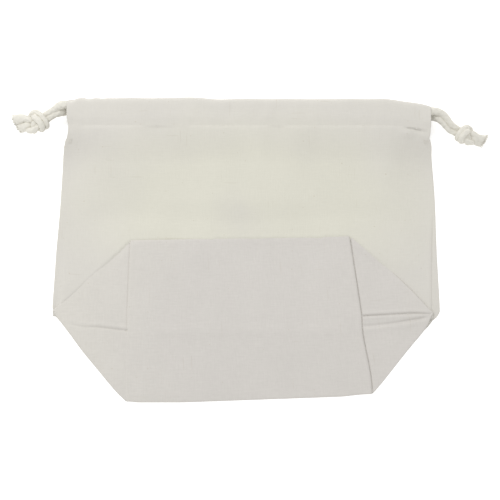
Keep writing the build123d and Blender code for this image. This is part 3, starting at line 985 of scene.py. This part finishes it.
def studio():
    """A white table, an even white surround and a large soft light from above the mouth."""
    world = bpy.data.worlds.new("studio")
    bpy.context.scene.world = world
    world.use_nodes = True
    set_inputs(world.node_tree.nodes["Background"], Color=(1, 1, 1, 1), Strength=0.83)
    data = bpy.data.lights.new("key", "AREA")
    data.shape, data.size, data.energy = "DISK", 0.45, 3.7
    lamp = add_object("key", data)
    lamp.location = (-0.42, 0.72, 0.8)
    lamp.rotation_euler = (-lamp.location).to_track_quat("-Z", "Y").to_euler()
    bpy.context.scene.view_settings.view_transform = "Standard"
    bpy.ops.mesh.primitive_plane_add(size=8, location=(0, 0, 0))
    floor = bpy.context.object
    floor.name = "floor"
    material = bpy.data.materials.new("floor")
    material.use_nodes = True
    surface = material.node_tree.nodes["Principled BSDF"]
    set_inputs(surface, Base_Color=(0.93, 0.93, 0.93, 1), Roughness=0.9)
    set_inputs(surface, Emission_Color=(1, 1, 1, 1), Emission_Strength=0.45)
    floor.data.materials.append(material)


# ---- materials


class Shader:
    """A material's node tree, with its nodes made and joined by short calls."""

    def __init__(self, name, roughness, sheen):
        self.material = bpy.data.materials.new(name)
        self.material.use_nodes = True
        self.nodes, self.links = self.material.node_tree.nodes, self.material.node_tree.links
        self.surface = self.nodes["Principled BSDF"]
        set_inputs(self.surface, Roughness=roughness, Specular_IOR_Level=0.15)
        set_inputs(self.surface, Sheen_Weight=sheen, Sheen_Roughness=0.5)

    def join(self, value, socket):
        """Sets a socket to a number or an RGB colour, or joins another node's output to it."""
        if isinstance(value, tuple):
            socket.default_value = (*value, 1)
        elif isinstance(value, (int, float)):
            socket.default_value = value
        else:
            self.links.new(value, socket)

    def texture(self, kind, scale, start=(0, 0, 0)):
        """A texture on the cloth's coordinates, in metres, scaled and moved in each direction."""
        uv = self.nodes.new("ShaderNodeUVMap")
        uv.uv_map = "cloth"
        mapping = self.nodes.new("ShaderNodeMapping")
        set_inputs(mapping, Scale=scale, Location=start)
        made = self.nodes.new(kind)
        self.join(uv.outputs["UV"], mapping.inputs["Vector"])
        self.join(mapping.outputs["Vector"], made.inputs["Vector"])
        return made

    def noise(self, scale, detail=2.0):
        """Soft random values around a half."""
        made = self.texture("ShaderNodeTexNoise", scale)
        set_inputs(made, Scale=1.0, Detail=detail)
        return made.outputs["Fac"]

    def patch(self, centre, reach):
        """1 at a place on the cloth, falling to 0 at a distance in each direction."""
        start = (-centre[0] / reach[0], -centre[1] / reach[1], 0)
        made = self.texture("ShaderNodeTexGradient", (1 / reach[0], 1 / reach[1], 1), start)
        made.gradient_type = "SPHERICAL"
        return made.outputs["Fac"]

    def math(self, operation, one, two=0.0, three=0.0):
        """The result of a sum on numbers or other nodes' outputs."""
        made = self.nodes.new("ShaderNodeMath")
        made.operation = operation
        for value, socket in zip((one, two, three), made.inputs):
            self.join(value, socket)
        return made.outputs[0]

    def limit(self, value):
        """A value kept between 0 and 1."""
        return self.math("MINIMUM", self.math("MAXIMUM", value, 0.0), 1.0)

    def blend(self, factor, one, two):
        """Between two colours, given as RGB or as another node's output."""
        made = self.nodes.new("ShaderNodeMix")
        made.data_type = "RGBA"
        self.join(factor, made.inputs["Factor"])
        self.join(one, made.inputs[6])
        self.join(two, made.inputs[7])
        return made.outputs[2]

    def bump(self, height, distance, strength):
        """Makes the surface's normal follow a height, of the given distance in metres."""
        made = self.nodes.new("ShaderNodeBump")
        set_inputs(made, Distance=distance, Strength=strength)
        self.join(height, made.inputs["Height"])
        self.join(made.outputs["Normal"], self.surface.inputs["Normal"])


def shade(colour, factor):
    """A lighter or darker colour."""
    return tuple(c * factor for c in colour)


def cotton(name, plain, middle_tone_and_painted_shading, streak, centre, reach, painted_dip_shade=None):
    """Plain-woven unbleached cotton: single threads, thicker slubs, seed specks and soft mottling.

    Round a place on the cloth its colour turns to a middle tone: partly the cotton's own tint, partly painted
    light on the front and painted shade on the flap. A second place paints the shade of a dip.
    """
    s = Shader(name, 0.95, 0.03)
    patch = s.patch(centre, reach)
    # Painted shade: in a dip of the cloth the middle tone turns back towards the darker, greyer plain colour
    if painted_dip_shade:
        patch = s.math("MULTIPLY_ADD", s.patch(*painted_dip_shade), -0.6, patch)
    patch = s.math("MULTIPLY_ADD", patch, 2.2, -0.45)
    patch = s.limit(s.math("MULTIPLY_ADD", s.noise((30, 24, 1), 1.0), 0.5, patch))
    single = s.math("ADD", s.noise((2100, 70, 1)), s.noise((70, 2100, 1)))
    slubs = s.math("ADD", s.noise((850, 190, 1), 1.0), s.noise((190, 850, 1), 1.0))
    threads = s.math("ADD", single, slubs)
    grain = s.math("MULTIPLY_ADD", threads, streak, 0.5 - 2 * streak)
    mottle = s.math("MULTIPLY_ADD", s.noise((26, 22, 1)), 0.24, -0.12)
    # The grain moves the colour between the plain colour and the middle tone, which carries painted light on
    # the front and painted shade on the flap
    cloth = s.blend(
        s.limit(s.math("ADD", grain, mottle)),
        s.blend(patch, shade(plain, 0.86), shade(middle_tone_and_painted_shading, 0.86)),
        s.blend(patch, shade(plain, 1.14), shade(middle_tone_and_painted_shading, 1.14)),
    )
    for scale in ((700, 46, 1), (46, 700, 1)):
        thick = s.math("MULTIPLY", s.math("GREATER_THAN", s.noise(scale, 0.0), 0.82), 0.12)
        cloth = s.blend(thick, cloth, (0.46, 0.40, 0.30))
    speck = s.math("GREATER_THAN", s.noise((520, 520, 1), 0.0), 0.845)
    cloth = s.blend(s.math("MULTIPLY", speck, 0.2), cloth, (0.42, 0.33, 0.20))
    s.join(cloth, s.surface.inputs["Base Color"])
    s.bump(threads, 0.0001, 0.3)
    return s.material


def yarn_cotton(name, colour, relief):
    """Cotton yarn with soft fibres along it, standing out by about the relief, in metres."""
    s = Shader(name, 0.92, 0.05)
    fibre = s.noise((2600, 500, 1))
    yarn = s.noise((700, 160, 1))
    both = s.math("ADD", fibre, yarn)
    tone = s.limit(s.math("MULTIPLY_ADD", both, 0.7, -0.2))
    s.join(s.blend(tone, shade(colour, 0.88), shade(colour, 1.1)), s.surface.inputs["Base Color"])
    s.bump(both, relief, 0.6)
    return s.material


PLAIN_COTTON = (0.683, 0.661, 0.610)
# The front's middle: yellower, which is the cotton's own tint, and lighter, which is painted light
WARM_PAINTED_LIT_COTTON = (0.712, 0.697, 0.608)
# The flap's middle: a little greyer than the ears, and darker, which is painted shade
PAINTED_SHADE_BASE_COTTON = (0.652, 0.626, 0.590)
EAR_COTTON = (0.697, 0.674, 0.618)
CORD_COTTON = (0.752, 0.730, 0.660)
THREAD = (0.697, 0.674, 0.620)


def show(piece, body, material, slot, *replaced):
    """Gives a piece its material and its body, and hides the CAD nodes it stands for."""
    piece.data.materials.clear()
    piece.data.materials.append(material)
    if body:
        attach(piece, body)
    if replaced:
        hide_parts(*replaced)


def main():
    camera()
    cord_material = yarn_cotton("cord_cotton", CORD_COTTON, 0.00018)
    fibre_material = yarn_cotton("cord_fibres", CORD_COTTON, 0.00002)
    knot = tie_knot()
    for side in OUT:
        cord_pieces(side, knot, cord_material, fibre_material)
    # Painted light: the front's middle is lighter than its sides; its yellower tint is the cotton's own
    front_material = cotton(
        "front_cotton", PLAIN_COTTON, WARM_PAINTED_LIT_COTTON, 0.14, (0.004, 0.030), (0.165, 0.078),
        # painted shade of the dip in the front just above the flap's top edge
        painted_dip_shade=((-0.004, 0.027), (0.046, 0.032)),
    )
    # Painted shade: the flap's middle is darker than its ears
    base_material = cotton("base_cotton", EAR_COTTON, PAINTED_SHADE_BASE_COTTON, 0.24, (0.03, -0.06), (0.19, 0.19))
    thread = yarn_cotton("sewing_thread", THREAD, 0.00003)
    front_cloth(front_material, thread)
    back_cloth(front_material, thread)
    base_cloth(base_material)
    for side in OUT:
        slit_tack(side, thread)
        side_seam(side, front_material, thread)
    studio()


main()
